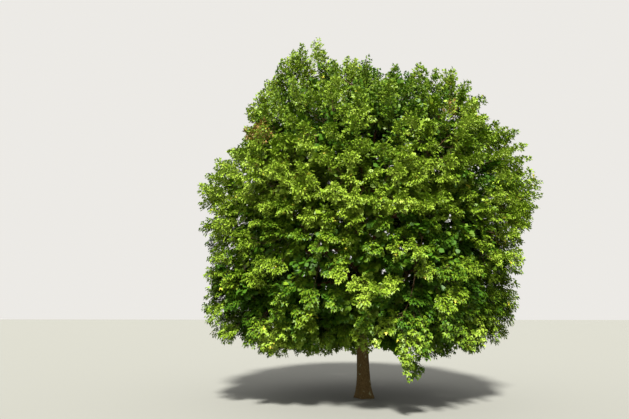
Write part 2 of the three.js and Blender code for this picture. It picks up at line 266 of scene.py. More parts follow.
# Mature bark is corky and wholly matt. Weather bleaches the plates to grey-brown, the furrows stay
# dark and reddish, and thin pale lichen lies in blots a few centimetres wide. The fibres are drawn
# coarser than life, so that they show.
FIBRE_WIDE = 0.008
FIBRE_LONG = 0.05
FIBRE_BUMP = 0.003
LICHEN_WIDE = 0.09
LICHEN_EDGE = 0.08


def mature_bark(name, furrow, plate, pale, lichen, lichen_least):
    material, shader = new_material(name)
    grain = add_node(material, "ShaderNodeAttribute", {"attribute_name": "grain"}, {})
    strings = add_node(material, "ShaderNodeMapping", {}, {
        "Vector": grain.outputs["Vector"], "Scale": (1 / FIBRE_WIDE, 1 / FIBRE_WIDE, 1 / FIBRE_LONG)})
    fibres = add_node(material, "ShaderNodeTexNoise", {}, {
        "Vector": strings.outputs["Vector"], "Scale": 1.0, "Detail": 5.0, "Roughness": 0.65})
    tones = add_node(material, "ShaderNodeValToRGB", {}, {"Fac": fibres.outputs["Fac"]})
    set_ramp(tones, [(0.3, furrow), (0.5, plate), (0.72, pale)])
    blots = add_node(material, "ShaderNodeTexNoise", {}, {
        "Vector": grain.outputs["Vector"], "Scale": 1 / LICHEN_WIDE, "Detail": 6.0, "Roughness": 0.6})
    blot_edge = add_node(material, "ShaderNodeMapRange", {}, {
        "Value": blots.outputs["Fac"], "From Min": lichen_least, "From Max": lichen_least + LICHEN_EDGE})
    mixed = add_node(material, "ShaderNodeMix", {"data_type": "RGBA"}, {
        "Factor": blot_edge.outputs["Result"], "A": tones.outputs["Color"], "B": colour(lichen)})
    bump = add_node(material, "ShaderNodeBump", {}, {
        "Height": fibres.outputs["Fac"], "Strength": 0.6, "Distance": FIBRE_BUMP})
    material.node_tree.links.new(mixed.outputs["Result"], shader.inputs["Base Color"])
    material.node_tree.links.new(bump.outputs["Normal"], shader.inputs["Normal"])
    shader.inputs["Roughness"].default_value = 0.92
    shader.inputs["Specular IOR Level"].default_value = 0.25
    return material


# The trunk's bark tones are darker than the boughs' partly as painted shade, for the shade it stands in
# under the crown.
trunk_bark_with_painted_shade = mature_bark(
    "maple_bark_of_trunk_with_painted_shade",
    furrow="#34250f", plate="#5d4a29", pale="#7a6842", lichen="#8b8a6a", lichen_least=0.6,
)
bm = bmesh.new()
bm.verts.layers.float_vector.new("grain")
grow_limb(bm, trunk_route, 0, 1, trunk_radius, trunk_relief, TRUNK_SIDES, TRUNK_RINGS, TRUNK_CROWDING)
for vert in bm.verts:
    if vert.co.z < FOOT_LEVEL:
        vert.co.z = 0
trunk = finish_limbs(bm, "trunk_bark_with_painted_shade", trunk_bark_with_painted_shade)
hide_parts("trunk")


# Boughs: limbs of wood under thinner, redder bark. Each grows out of the trunk or of a larger bough
# in a low collar, arches towards its mass of foliage and ends where it enters it. The hubs of the
# masses lie in a spiral down the crown, each a golden turn on from the last.

UP = Vector((0, 0, 1))
GOLDEN_TURN = 180 * (3 - math.sqrt(5))
HUB_COUNT = sum(node.startswith("foliage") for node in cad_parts)
HUB_DEPTH = 1.0
HUB_TOP = 1.03
HUB_BOTTOM = -0.952
HUB_TURN = 236
BOUGH_BASE = 0.054
BOUGH_TIP = 0.023
BOUGH_LOWEST = 1.42
BOUGH_CLIMB = 0.44
BOUGH_ARCH_AT = 0.45
BOUGH_STEEP = 0.4
ARCH_CLIMBING = 0.05
ARCH_SPREADING = 0.16
MAIN_EVERY = 3
TOP_BOUGHS = 2
TOP_BOUGH_SHARE = 0.75
SIDE_BASE = 0.038
SIDE_TIP = 0.02
SIDE_PARENT_SHARE = 0.8
SIDE_PLACES = [0.2, 0.28, 0.36, 0.44, 0.52, 0.6]
SIDE_TURN_COST = 1.6
SIDE_ARCH_AT = 0.45
SIDE_FORWARD = 0.14
SIDE_UP = 0.06
STEM_LENGTH = 0.43
COLLAR = 0.35
COLLAR_LONG = 0.09
BOUGH_SIDES = 14
BOUGH_RING_GAP = 0.05
BOUGH_PLATE_SHARE = 0.5
BOUGH_FURROW_DEEP = 0.0012
BOUGH_LUMP = 0.0025
BOUGH_LUMP_WIDE = 0.05


def hub_of(mass):
    height = HUB_TOP + (HUB_BOTTOM - HUB_TOP) * (mass + 0.5) / HUB_COUNT
    way = way_of(HUB_TURN + mass * GOLDEN_TURN, math.degrees(math.asin(height)))
    return CROWN_MIDDLE + way * (crown_reach(way) - HUB_DEPTH)


def curve_points(start, control, end, shares):
    return [start * (1 - t) ** 2 + control * 2 * t * (1 - t) + end * t**2 for t in shares]


def bent_route(start, control, end):
    return even_route(curve_points(start, control, end, np.linspace(0, 1, 2 * ROUTE_STEPS + 1).tolist()))


def with_across(route, start, control, end):
    route["across"] = (control - start).cross(end - control).normalized()
    return route


def main_route(hub):
    height = BOUGH_LOWEST + BOUGH_CLIMB * (hub.z - BOUGH_LOWEST)
    start = point_at(trunk_route, height / trunk_route["length"])
    reach = (hub - start).length
    climbs = hub.z - start.z > BOUGH_STEEP * reach
    control = start.lerp(hub, BOUGH_ARCH_AT) + UP * reach * (ARCH_CLIMBING if climbs else ARCH_SPREADING)
    return with_across(bent_route(start, control, hub), start, control, hub)


def cheapest_place(goal, limbs, shares, turn_cost):
    """Where on the limbs a branch to the goal would start: near, and not turning far off its way."""
    best = None
    for limb in limbs:
        for along in shares:
            start = point_at(limb["route"], along)
            tangent = tangent_at(limb["route"], along)
            line = goal - start
            cost = line.length * (turn_cost - line.normalized().dot(tangent))
            if best is None or cost < best["cost"]:
                best = {"cost": cost, "start": start, "tangent": tangent, "limb": limb, "along": along}
    return best


def side_route(hub, place):
    reach = (hub - place["start"]).length
    control = place["start"].lerp(hub, SIDE_ARCH_AT)
    control += place["tangent"] * SIDE_FORWARD * reach + UP * SIDE_UP * reach
    return with_across(bent_route(place["start"], control, hub), place["start"], control, hub)


def make_bough(route, base, tip):
    end = 1 - STEM_LENGTH / route["length"]

    def radius_at(along, angle=0.0):
        collar = 1 + COLLAR * math.exp(-along * route["length"] / COLLAR_LONG)
        return (base + (tip - base) * min(along, end) / end) * collar

    return {"route": route, "end": end, "radius_at": radius_at, "tip": tip}


hubs = [hub_of(mass) for mass in range(HUB_COUNT)]
is_main = [mass <= TOP_BOUGHS or mass % MAIN_EVERY == 0 for mass in range(HUB_COUNT - 1)] + [True]
boughs = {}
for mass in range(1, HUB_COUNT):
    if is_main[mass]:
        base = BOUGH_BASE * (TOP_BOUGH_SHARE if mass <= TOP_BOUGHS else 1)
        boughs[mass] = make_bough(main_route(hubs[mass]), base, BOUGH_TIP)
mains = list(boughs.values())
for mass in range(1, HUB_COUNT):
    if not is_main[mass]:
        place = cheapest_place(hubs[mass], mains, SIDE_PLACES, SIDE_TURN_COST)
        base = min(SIDE_BASE, SIDE_PARENT_SHARE * place["limb"]["radius_at"](place["along"]))
        boughs[mass] = make_bough(side_route(hubs[mass], place), base, SIDE_TIP)


def bough_relief(grain):
    plate = furrows(grain, PLATE_WIDE * BOUGH_PLATE_SHARE, PLATE_LONG * BOUGH_PLATE_SHARE)
    return BOUGH_FURROW_DEEP * (plate - 1) + BOUGH_LUMP * noise.noise(grain / BOUGH_LUMP_WIDE)


bough_bark = mature_bark(
    "maple_bark_of_boughs",
    furrow="#3a2618", plate="#6b4c33", pale="#86694c", lichen="#8f8a6c", lichen_least=0.66,
)
bm = bmesh.new()
bm.verts.layers.float_vector.new("grain")
for bough in boughs.values():
    rings = round(bough["route"]["length"] * bough["end"] / BOUGH_RING_GAP)
    grow_limb(bm, bough["route"], 0, bough["end"], bough["radius_at"], bough_relief, BOUGH_SIDES, rings)
bough_piece = finish_limbs(bm, "boughs_bark", bough_bark)
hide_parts(*[f"bough_{mass:02d}" for mass in boughs])


# Stems and arms: from each bough's tip, and from the trunk's, a stem of young wood goes on to the
# middle of a mass of foliage. It parts into arms, which end a little inside the crown's outer form.
# A mass keeps to its own space, and has its own chance, so that one mass doesn't change the others.

FIRST_SEED = 20
MASS_GIRTH = 1.65
MASS_SIDES = 8
SUNFLOWER_STRAY = 8
STEM_END = 0.013
STEM_TOP_SHARE = 0.9
STEM_STEPS = 8
ARM_SPACING = 0.87
ARM_REACH = 0.78
ARM_SHORT_OF_FORM = 0.45
ARM_BEND = 0.18
ARM_STRAY = 0.06
ARM_PLACES = (0.3, 0.95)
ARM_BASE = 0.012
ARM_TIP = 0.005
ARM_STEPS = 8

chance = random.Random(FIRST_SEED)


def toss(amount):
    return chance.uniform(-amount, amount)


def any_way(amount):
    return Vector((toss(amount), toss(amount), toss(amount)))


def even_shares(steps):
    return [k / steps for k in range(steps + 1)]


def way_to(point):
    return (point - CROWN_MIDDLE).normalized()


def across_from(way, turn):
    """A way square to another, turned round it from the steepest way down."""
    down = (way * way.z - UP).normalized()
    angle = math.radians(turn)
    return down * math.cos(angle) + way.cross(down) * math.sin(angle)


def room_to(mass, direction):
    """How far a mass's own space goes from its hub in a direction."""
    rooms = [MASS_GIRTH]
    for other in hubs:
        between = other - hubs[mass]
        if between.length > 0 and direction.dot(between) > 0:
            rooms.append(between.length_squared / 2 / direction.dot(between))
    return min(rooms)


def spread_ways(mass, spacing, reach):
    """Ways from the crown's middle that lie round a mass as the seeds of a sunflower do, each with
    its share of the way from the mass's middle to its edge."""
    way = way_to(hubs[mass])
    rooms = [room_to(mass, across_from(way, 360 / MASS_SIDES * k)) for k in range(MASS_SIDES)]
    count = round(math.pi * sum(room**2 for room in rooms) / MASS_SIDES / spacing**2)
    first = chance.uniform(0, 360)
    ways = []
    for k in range(count):
        share = math.sqrt((k + 0.5) / count)
        across = across_from(way, first + k * GOLDEN_TURN + toss(SUNFLOWER_STRAY))
        out = reach * share * room_to(mass, across)
        ways.append((way_to(hubs[mass] + across * out), share))
    return ways


def stem_of(mass):
    if mass in boughs:
        bough = boughs[mass]
        return {"route": bough["route"], "start": bough["end"], "radius": bough["tip"]}
    start = point_at(trunk_route, 1)
    control = start + tangent_at(trunk_route, 1) * STEM_LENGTH / 2
    route = bent_route(start, control, hubs[mass])
    return {"route": route, "start": 0.0, "radius": TRUNK_TOP * STEM_TOP_SHARE}


def point_of_stem(stem, share):
    return point_at(stem["route"], stem["start"] + (1 - stem["start"]) * share)


def arms_of(mass, stem):
    """The arms leave the stem one after another and spread over the mass's space."""
    arms = []
    ways = spread_ways(mass, ARM_SPACING, ARM_REACH)
    for k, (way, _) in enumerate(ways):
        share = ARM_PLACES[0] + (ARM_PLACES[1] - ARM_PLACES[0]) * (k + 0.5) / len(ways)
        start = point_of_stem(stem, share)
        end = CROWN_MIDDLE + way * (crown_reach(way) - ARM_SHORT_OF_FORM)
        bend = tangent_at(stem["route"], 1) * ARM_BEND * (end - start).length
        control = start.lerp(end, 0.5) + bend + any_way(ARM_STRAY)
        line = curve_points(start, control, end, even_shares(ARM_STEPS))
        arms.append({"line": line, "route": bent_route(start, control, end)})
    return arms


# Openings, hollows and crests: the foliage of a maple isn't even. Openings are gaps between its
# sprays, hollows are where its front lies back in its own shade, and crests stand proud in the sun.
# The leaves in a hollow are also given a darker tone as painted shade, and those on a crest a lighter
# tone as painted light. Each place has its pixel and its half width in the photograph, in pixels.

PHOTO_WIDE = 629
PHOTO_HIGH = 419
FOCAL_PIXELS = PHOTO_WIDE * LENS_MM / SENSOR_MM
OPENINGS = [
    (320, 243, 4), (335, 251, 4), (352, 258, 3), (402, 248, 4), (392, 166, 3), (376, 160, 3),
    (364, 348, 6), (364, 339, 6),
]
HOLLOWS = [
    (477, 236, 25), (444, 264, 19), (412, 308, 20), (305, 276, 16), (246, 314, 22), (331, 323, 13),
    (306, 242, 14), (319, 108, 17), (394, 268, 11), (266, 290, 14), (332, 135, 14), (284, 256, 13),
    (483, 294, 17), (486, 171, 15), (330, 258, 9), (388, 128, 11), (231, 139, 11), (492, 106, 9),
    (403, 70, 9), (436, 233, 17), (437, 300, 12), (300, 100, 10), (384, 368, 12), (439, 372, 12),
    (202, 216, 10), (232, 352, 9), (432, 324, 14), (400, 350, 14), (385, 62, 9), (235, 130, 9),
    (497, 116, 8),
]
CRESTS = [
    (255, 174, 26), (281, 163, 22), (229, 170, 15), (327, 179, 20), (301, 178, 18), (355, 205, 16),
    (398, 200, 18), (265, 338, 14), (222, 226, 14), (510, 231, 12), (472, 110, 14), (400, 158, 14),
    (350, 160, 14), (368, 303, 11), (352, 272, 12), (385, 283, 12), (307, 161, 18), (214, 200, 14),
    (300, 188, 14), (345, 292, 12), (341, 236, 12), (444, 186, 12),
]
OPENING_KEEPS = 0.12
FRONT_ENDS = 0.8


def sight(pixel_x, pixel_y):
    """The way from the eye through a pixel of the photograph."""
    way = Vector((pixel_x - PHOTO_WIDE / 2, PHOTO_HIGH / 2 - pixel_y, -FOCAL_PIXELS))
    return (eye.rotation_euler.to_matrix() @ way).normalized()


def lines_to(spots):
    """The lines of sight to some spots, each with the spot's half width for each metre along it."""
    return [(sight(x, y), wide / FOCAL_PIXELS) for x, y, wide in spots]


def on_lines(point, lines):
    line = point - EYE
    return any((line - way * line.dot(way)).length < slope * line.dot(way) for way, slope in lines)


def on_spots(point, lines):
    """How far a point at the front is within the nearest of some spots: 1 at its middle, 0 outside."""
    if point.y > FRONT_ENDS:
        return 0.0
    line = point - EYE
    shares = [(line - way * line.dot(way)).length / (slope * line.dot(way)) for way, slope in lines]
    return max(0.0, 1 - min(shares) ** 2)


opening_lines = lines_to(OPENINGS)
hollow_lines = lines_to(HOLLOWS)
crest_lines = lines_to(CRESTS)


def in_opening(point):
    """Whether a leaf is left out to keep an opening. A few leaves still grow there."""
    return on_lines(point, opening_lines) and chance.random() > OPENING_KEEPS


# Leaders: long shoots of young wood whose tips stand out from the crown, each placed by the pixel of
# its tip in the photograph. They stand upright at its top, spread at its sides and hang at its foot.
# Some more close the crown where it would else be thin, or catch the sun at its front.

UPRIGHT_TIPS = [
    (302, 45), (319, 39), (332, 58), (347, 58), (355, 60), (366, 69), (376, 79), (388, 77), (418, 65),
    (436, 70), (452, 70), (463, 90), (474, 100), (283, 60), (271, 82), (289, 58), (324, 52), (445, 71),
    (301, 58), (317, 54), (258, 96), (251, 105), (263, 92), (277, 75), (311, 57), (296, 53), (314, 72),
]
SPREADING_TIPS = [
    (540, 181), (540, 195), (536, 207), (531, 219), (531, 171), (529, 158), (524, 145), (517, 131),
    (505, 128), (538, 188), (527, 226), (200, 186), (207, 176), (209, 198), (217, 160), (229, 151),
    (248, 113), (505, 336), (497, 342), (517, 285), (517, 297), (514, 309), (520, 266), (534, 176),
    (512, 316),
]
HANGING_TIPS = [
    (406, 371), (409, 379), (407, 362), (418, 350), (427, 348), (251, 341), (262, 348), (271, 353),
    (284, 350), (300, 346), (314, 346), (329, 347), (346, 348), (377, 345), (447, 334), (463, 344),
    (473, 348), (483, 345), (498, 339),
]
CLOSING_TIPS = [
    (366, 262), (474, 174), (522, 174), (426, 79), (510, 161), (438, 88), (511, 149), (235, 258),
    (509, 246), (498, 234), (318, 76), (224, 318), (486, 162), (368, 236), (342, 69), (474, 115),
    (510, 282), (305, 62), (520, 162), (246, 162), (235, 270), (506, 333),
]
FRONT_TIPS = [
    (262, 172), (274, 166), (298, 164), (310, 176), (292, 182), (262, 208), (352, 206), (340, 214),
    (392, 208), (404, 200), (430, 206), (444, 200), (222, 286), (350, 288), (338, 280), (392, 290),
    (306, 318), (298, 326), (310, 330),
]
UPWARDS = 1
OUTWARDS = 0
DOWNWARDS = -1
FRONT_PAST_FORM = 0.04
HANGING_PAST_FORM = 0.15
TOP_SHOOTS = 44
TOP_SHOOTS_FROM = 0.5
TOP_SHOOTS_PAST_FORM = 0.16
TOP_SHOOTS_INSIDE = 0.5
SIGHT_NEAREST = 7
SIGHT_SPAN = 8
SIGHT_STEPS = 160


def past_form(point):
    return (point - CROWN_MIDDLE).length - crown_reach(way_to(point))


def points_along(line):
    """Points on a line of sight, from in front of the crown to behind it."""
    return [EYE + line * (SIGHT_NEAREST + SIGHT_SPAN * k / SIGHT_STEPS) for k in range(SIGHT_STEPS + 1)]


def point_on_form(line):
    """Where a line of sight passes nearest to the crown's outer form, or deepest inside it."""
    return min(points_along(line), key=past_form)


def front_point(line, past):
    """Where a line of sight first comes near the crown's outer form."""
    near = [point for point in points_along(line) if past_form(point) < past]
    return near[0] if near else point_on_form(line)


leader_tips = [(point_on_form(sight(*pixel)), UPWARDS) for pixel in UPRIGHT_TIPS]
leader_tips += [(point_on_form(sight(*pixel)), OUTWARDS) for pixel in SPREADING_TIPS]
leader_tips += [(front_point(sight(*pixel), HANGING_PAST_FORM), DOWNWARDS) for pixel in HANGING_TIPS]
# More upright shoots stand all round the crown's top, but not where they would change its outline.
for k in range(TOP_SHOOTS):
    height = TOP_SHOOTS_FROM + (1 - TOP_SHOOTS_FROM) * (k + 0.5) / TOP_SHOOTS
    way = way_of(k * GOLDEN_TURN, math.degrees(math.asin(height)))
    tip = CROWN_MIDDLE + way * (crown_reach(way) + TOP_SHOOTS_PAST_FORM)
    inside = -past_form(point_on_form((tip - EYE).normalized()))
    if inside > TOP_SHOOTS_INSIDE and not on_spots(tip, hollow_lines):
        leader_tips.append((tip, UPWARDS))
leader_tips += [(point_on_form(sight(*pixel)), OUTWARDS) for pixel in CLOSING_TIPS]
leader_tips += [(front_point(sight(*pixel), FRONT_PAST_FORM), OUTWARDS) for pixel in FRONT_TIPS]


# Leaf tones: they run from the deep green of shaded leaves to the yellow-green of the newest ones,
# and a few sprays have turned gold or bronze. A tone is dealt out to a spray, and its leaves stray
# from it a little. A spray's tone also carries painted light and shade. It is darker the deeper the
# spray lies, partly as the darker green of real shade leaves and partly as painted shade. It is
# darker at the crown's foot and top and in hollows, and lighter at mid height and on crests.

LEAF_TONES = {
    "shade": "#375a0e",
    "deep": "#516d14",
    "middle": "#69831b",
    "bright": "#7c9628",
    "fresh": "#90a63a",
    "gold": "#b5ae3c",
    "bronze": "#856a35",
}
TONE_NAMES = list(LEAF_TONES)
LIGHTEST_GREEN = TONE_NAMES.index("fresh")
GOLD = TONE_NAMES.index("gold")
BRONZE = TONE_NAMES.index("bronze")
GOLD_FROM = TONE_NAMES.index("middle")
GOLD_LEAVES = 0.008
TURNED_LEAVES = 0.45
# A spray's tone is lightest at the crown's outside and darkens with depth, partly as the darker green of
# real shade leaves and partly as painted shade.
OUTSIDE_TONE = 3.0
SHADE_LEAF_AND_PAINTED_SHADE_DARKENING = 2.2
DARKEST_DEPTH = 0.8
TONE_DRIFT = 0.9
TONE_DRIFTS_PER_METRE = 1.1
TONE_TOSS = 0.7
TONE_STRAYS = [-1, 0, 0, 0, 1]
# By height the tone is painted darker at the crown's foot and top and painted lighter at mid height. This is
# painted light and shade, and at the foot it is partly the darker green of shade leaves.
PAINTED_LIGHT_AND_SHADE_HEIGHTS = [1.2, 2.0, 3.0, 4.0, 5.0, 6.5]
PAINTED_LIGHT_AND_SHADE_SHIFTS = [-1.1, -0.8, -0.2, 0.4, 0.2, -0.8]
# Leaves in a hollow get a darker tone: painted shade.
HOLLOW_PAINTED_SHADE = 1.2
# Leaves on a crest get a lighter tone: painted light.
CREST_PAINTED_LIGHT = 1.3
# The spots where the photograph shows turned sprays, each with its pixel and its half width there.
BRONZE_SPOTS = [(459, 109, 10), (252, 128, 10)]
GOLD_SPOTS = [(349, 88, 6), (356, 112, 4)]

bronze_lines = lines_to(BRONZE_SPOTS)
gold_lines = lines_to(GOLD_SPOTS)


def tone_with_painted_light_of_spray(place, depth):
    """The place of a spray's tone among the tones: lighter outside, and changing over a metre or so, with
    painted shade deep inside, at the foot and top and in hollows, and painted light at mid height and on
    crests.
    """
    if place.y < 0 and on_lines(place, bronze_lines):
        return BRONZE
    if place.y < 0 and on_lines(place, gold_lines):
        return GOLD
    tone = OUTSIDE_TONE - SHADE_LEAF_AND_PAINTED_SHADE_DARKENING * min(depth / DARKEST_DEPTH, 1)
    tone = tone + TONE_DRIFT * noise.noise(place * TONE_DRIFTS_PER_METRE) + toss(TONE_TOSS)
    # Painted light and shade by height, painted light on crests and painted shade in hollows.
    tone += float(np.interp(place.z, PAINTED_LIGHT_AND_SHADE_HEIGHTS, PAINTED_LIGHT_AND_SHADE_SHIFTS))
    tone += CREST_PAINTED_LIGHT * on_spots(place, crest_lines) - HOLLOW_PAINTED_SHADE * on_spots(place, hollow_lines)
    return min(max(round(tone), 0), LIGHTEST_GREEN)


def tone_of_leaf(tone):
    if tone > LIGHTEST_GREEN and chance.random() < TURNED_LEAVES:
        return tone
    if tone >= GOLD_FROM and chance.random() < GOLD_LEAVES:
        return GOLD
    tone = min(tone, LIGHTEST_GREEN - 1)
    return min(max(tone + chance.choice(TONE_STRAYS), 0), LIGHTEST_GREEN)


# Leaves: a maple leaf is a thin lobed blade on a long stalk. Its lobes droop, its face turns up and
# out to the light, and it is left out where it would leave its mass's space or the crown, fill an
# opening or touch a limb.

LEAF_LENGTH = 0.066
LEAF_SIZES = (0.72, 1.12)
STALK_LENGTHS = (0.02, 0.045)
STALK_WIDE = 0.0022
TIP_ALONG_STALK = 0.5
TIP_AWAY = 0.45
TIP_WITH_GROWTH = 0.35
TIP_TOSS = 0.3
UPRIGHT_DROOP = 0.2
SPREADING_DROOP = 0.45
FACE_AWAY = 0.6
FACE_OUTWARDS = 0.6
FACE_TOSS = 0.4
CUPPING = (0.3, 2.2)
LOWEST_LEAF = 0.5
LIMB_CLEARANCE = 0.04
BOUGH_MARKS = 60
TRUNK_MARKS = 140

# A blade has three lobes on a broad foot. Its outline runs from the foot's right corner over the tip
# to the left one, in shares of its length from the joint, with how far each point lies above the flat
# blade.
BLADE = [
    (0.66, 0.34, -0.15), (0.23, 0.48, 0.08), (0.0, 1.0, -0.2), (-0.23, 0.48, 0.08), (-0.66, 0.34, -0.15),
]
# Inside the crown the blades are larger and their lobes run together.
SHADE_BLADE = [
    (0.5, 0.05, -0.05), (0.52, 0.6, -0.05), (0.0, 1.0, -0.12), (-0.52, 0.6, -0.05), (-0.5, 0.05, -0.05),
]

limb_marks = []
for bough in boughs.values():
    for k in range(BOUGH_MARKS):
        along = bough["end"] * k / BOUGH_MARKS
        limb_marks.append((point_at(bough["route"], along), bough["radius_at"](along)))
for k in range(TRUNK_MARKS):
    along = k / TRUNK_MARKS
    limb_marks.append((point_at(trunk_route, along), trunk_radius(along, 0)))
limb_tree = kdtree.KDTree(len(limb_marks))
for k, (point, radius) in enumerate(limb_marks):
    limb_tree.insert(point, k)
limb_tree.balance()


def touches_limb(point):
    _, k, distance = limb_tree.find(point)
    return distance < limb_marks[k][1] + LIMB_CLEARANCE


hub_tree = kdtree.KDTree(HUB_COUNT)
for mass, hub in enumerate(hubs):
    hub_tree.insert(hub, mass)
hub_tree.balance()


def in_space(point, mass):
    """A mass keeps to the points that are nearer to its hub than to any other."""
    return hub_tree.find(point)[1] == mass


def add_leaf(leaves, spray, root, stalk):
    size = spray["leaf_length"] * chance.uniform(*LEAF_SIZES)
    joint = root + stalk * chance.uniform(*STALK_LENGTHS)
    away = (joint - spray["middle"]).normalized()
    droop = UP * -(UPRIGHT_DROOP if spray["upright"] > 0.5 else SPREADING_DROOP)
    tip = stalk * TIP_ALONG_STALK + away * TIP_AWAY + spray["growth"] * TIP_WITH_GROWTH + droop
    tip = (tip + any_way(TIP_TOSS)).normalized()
    face = UP * spray["faces_up"] + away * FACE_AWAY + spray["outwards"] * FACE_OUTWARDS + any_way(FACE_TOSS)
    face = (face - tip * face.dot(tip)).normalized()
    end = joint + tip * size
    if not in_space(joint, spray["mass"]) or touches_limb(joint) or in_opening(joint + tip * size / 2):
        return
    if past_form(end) > spray["past_form"] or end.z < LOWEST_LEAF:
        return
    tone = tone_of_leaf(spray["tone"])
    leaves.append({"root": root, "joint": joint, "tip": tip, "face": face, "size": size, "tone": tone})


def leaf_mesh(leaves, outline):
    """Points, triangles and tones of leaves: a stalk and a fan of blade faces each."""
    root, joint, tip, face = (
        np.array([tuple(leaf[key]) for leaf in leaves]) for key in ("root", "joint", "tip", "face")
    )
    size = np.array([leaf["size"] for leaf in leaves])[:, None]
    tones = np.array([leaf["tone"] for leaf in leaves])
    wide = np.cross(tip, face)
    cupping = np.array([chance.uniform(*CUPPING) for _ in leaves])[:, None]
    blade = [joint + size * (wide * x + tip * y + face * (z * cupping)) for x, y, z in outline]
    stalk = [root - wide * STALK_WIDE / 2, root + wide * STALK_WIDE / 2]
    points = np.stack([joint, *blade, *stalk], axis=1)
    corners = points.shape[1]
    fan = [(0, k, k + 1) for k in range(1, len(outline))] + [(corners - 2, corners - 1, 0)]
    triangles = (np.array(fan)[None] + np.arange(len(leaves))[:, None, None] * corners).reshape(-1, 3)
    return points.reshape(-1, 3), triangles, np.repeat(tones, len(fan))


# A maple leaf has a thin wax coat over soft tissue, so it gives a broad, weak sheen. The leaves that
# open in shade have less wax and are duller.
LEAF_GLOSS = 0.32
SHADE_LEAF_GLOSS = 0.2
leaf_materials = []
for tone_name in TONE_NAMES:
    material, shader = new_material(f"maple_leaf_{tone_name}")
    shader.inputs["Base Color"].default_value = colour(LEAF_TONES[tone_name])
    shader.inputs["Roughness"].default_value = 0.46
    dull = tone_name in ("shade", "deep")
    shader.inputs["Specular IOR Level"].default_value = SHADE_LEAF_GLOSS if dull else LEAF_GLOSS
    leaf_materials.append(material)


# Sprays: a branchlet of young wood leaves an arm and bends towards its place on the crown. It bears
# pairs of opposite twigs, and the twigs bear pairs of leaves. Shoots at the crown's top stand upright,
# and those at its foot droop.

GROWTH_HEIGHTS = [-0.9, -0.4, 0.0, 0.45, 0.75]
GROWTH_LIFTS = [-0.75, -0.3, 0.1, 0.4, 1.6]
GROWTH_TOSS = 0.22
UPRIGHT_FROM = 0.5
UPRIGHT_WITHIN = 0.25
UPRIGHT_LONGER = 0.5
UPRIGHT_TWIGS_SHORTER = 0.3
SITES_PAST_FORM = 0.18
LEAVES_PAST_FORM = 0.17
SPRAY_LONG = 0.36
SPRAY_PAIRS = 5
SPRAY_ROLL = 0.5
SPRAY_ROUND = 0.8
SPRAY_LEAFY_SHARE = 0.8
SPRAY_MIDDLE = 0.6
SPRAY_MIDDLE_LOW = 0.06
BRANCHLET_PLACES = [0.25, 0.45, 0.65, 0.8, 0.92]
BRANCHLET_STRAY = 0.08
BRANCHLET_AIM = 0.3
BRANCHLET_TURN_COST = 1.8
BRANCHLET_ARCH = 0.5
BRANCHLET_STEPS = 6
BRANCHLET_BASE = 0.0045
BRANCHLET_TIP = 0.0016
TWIG_RADIUS = 0.0014
TWIG_LENGTHS = (0.08, 0.2)
TWIG_SIZES = (0.75, 1.15)
TWIG_PLACES = (0.2, 0.7)
TWIG_LONGEST_SHARE = 0.75
TWIG_SPREAD = 52
TWIG_SPREAD_TOSS = 10
TWIG_TOSS = 0.12
TWIG_ROLL = 0.3
TWIG_SAG = 0.12
END_TWIG_TOSS = 0.15
LEAST_LEAF_PAIRS = 2
LEAF_PAIR_GAP = 0.0235
LAST_PAIR_GAP = 0.15
STALK_ACROSS = 0.85
STALK_ALONG = 0.6
STALK_TOSS = 0.2
FACES_UP_HEIGHTS = (-0.3, 0.5)
LEAF_FACES_UP = (0.65, 0.25)
SHADE_DEPTHS = (0.45, 2.2)
SHADE_LEAF_LENGTHS = (0.09, 0.15)
SHADE_PAIR_GAP_SHARE = 0.46
SHADE_LEAF_FACES_UP = 0.2
LEADER_LONG = 0.55
LEADER_PAIRS = 8
LEADER_TWIGS = 0.7
LEADER_OUTWARDS = 0.3
LEADER_TOSS = 0.06
HANGING_PAIRS = 5
HANGING_TWIGS = 0.55


def growth_way(way):
    """The way that shoots grow at a place on the crown: up at its top, out and a little up at its
    sides, and drooping at its foot."""
    lift = float(np.interp(way.z, GROWTH_HEIGHTS, GROWTH_LIFTS))
    outwards = Vector((way.x, way.y, 0)).normalized()
    return (way * 0.5 + outwards * 0.5 + UP * lift + any_way(GROWTH_TOSS)).normalized()


def outer_spray(way, depth):
    """What a spray in the sun at a place on the crown is like."""
    upright = min(max((way.z - UPRIGHT_FROM) / UPRIGHT_WITHIN, 0), 1)
    return {
        "site": CROWN_MIDDLE + way * (crown_reach(way) + SITES_PAST_FORM - depth),
        "growth": growth_way(way),
        "upright": upright,
        "outwards": Vector((way.x, way.y, 0)).normalized(),
        "depth": depth,
        "long": SPRAY_LONG * (1 + UPRIGHT_LONGER * upright),
        "twig_share": 1 - UPRIGHT_TWIGS_SHORTER * upright,
        "pairs": SPRAY_PAIRS,
        "leaf_length": LEAF_LENGTH,
        "pair_gap": LEAF_PAIR_GAP,
        "faces_up": float(np.interp(way.z, FACES_UP_HEIGHTS, LEAF_FACES_UP)),
        "past_form": LEAVES_PAST_FORM,
    }


def shaded_spray(way, depth):
    """A spray inside the crown has fewer and larger leaves, turned to the light from outside."""
    length = float(np.interp(depth, SHADE_DEPTHS, SHADE_LEAF_LENGTHS))
    return {
        **outer_spray(way, depth),
        "leaf_length": length,
        "pair_gap": SHADE_PAIR_GAP_SHARE * length,
        "faces_up": SHADE_LEAF_FACES_UP,
    }


def leader(tip, upwards):
    """A long shoot with its tip at a given place: above the crown, at its side or hanging under it."""
    way = way_to(tip)
    growth = (UP * upwards + way * (LEADER_OUTWARDS if upwards else 1.0) + any_way(LEADER_TOSS)).normalized()
    return {
        **outer_spray(way, 0),
        "site": tip - growth * TWIG_LENGTHS[0],
        "growth": growth,
        "upright": 1,
        "long": LEADER_LONG,
        "twig_share": HANGING_TWIGS if upwards < 0 else LEADER_TWIGS,
        "pairs": HANGING_PAIRS if upwards < 0 else LEADER_PAIRS,
        "past_form": LEADER_LONG,
    }


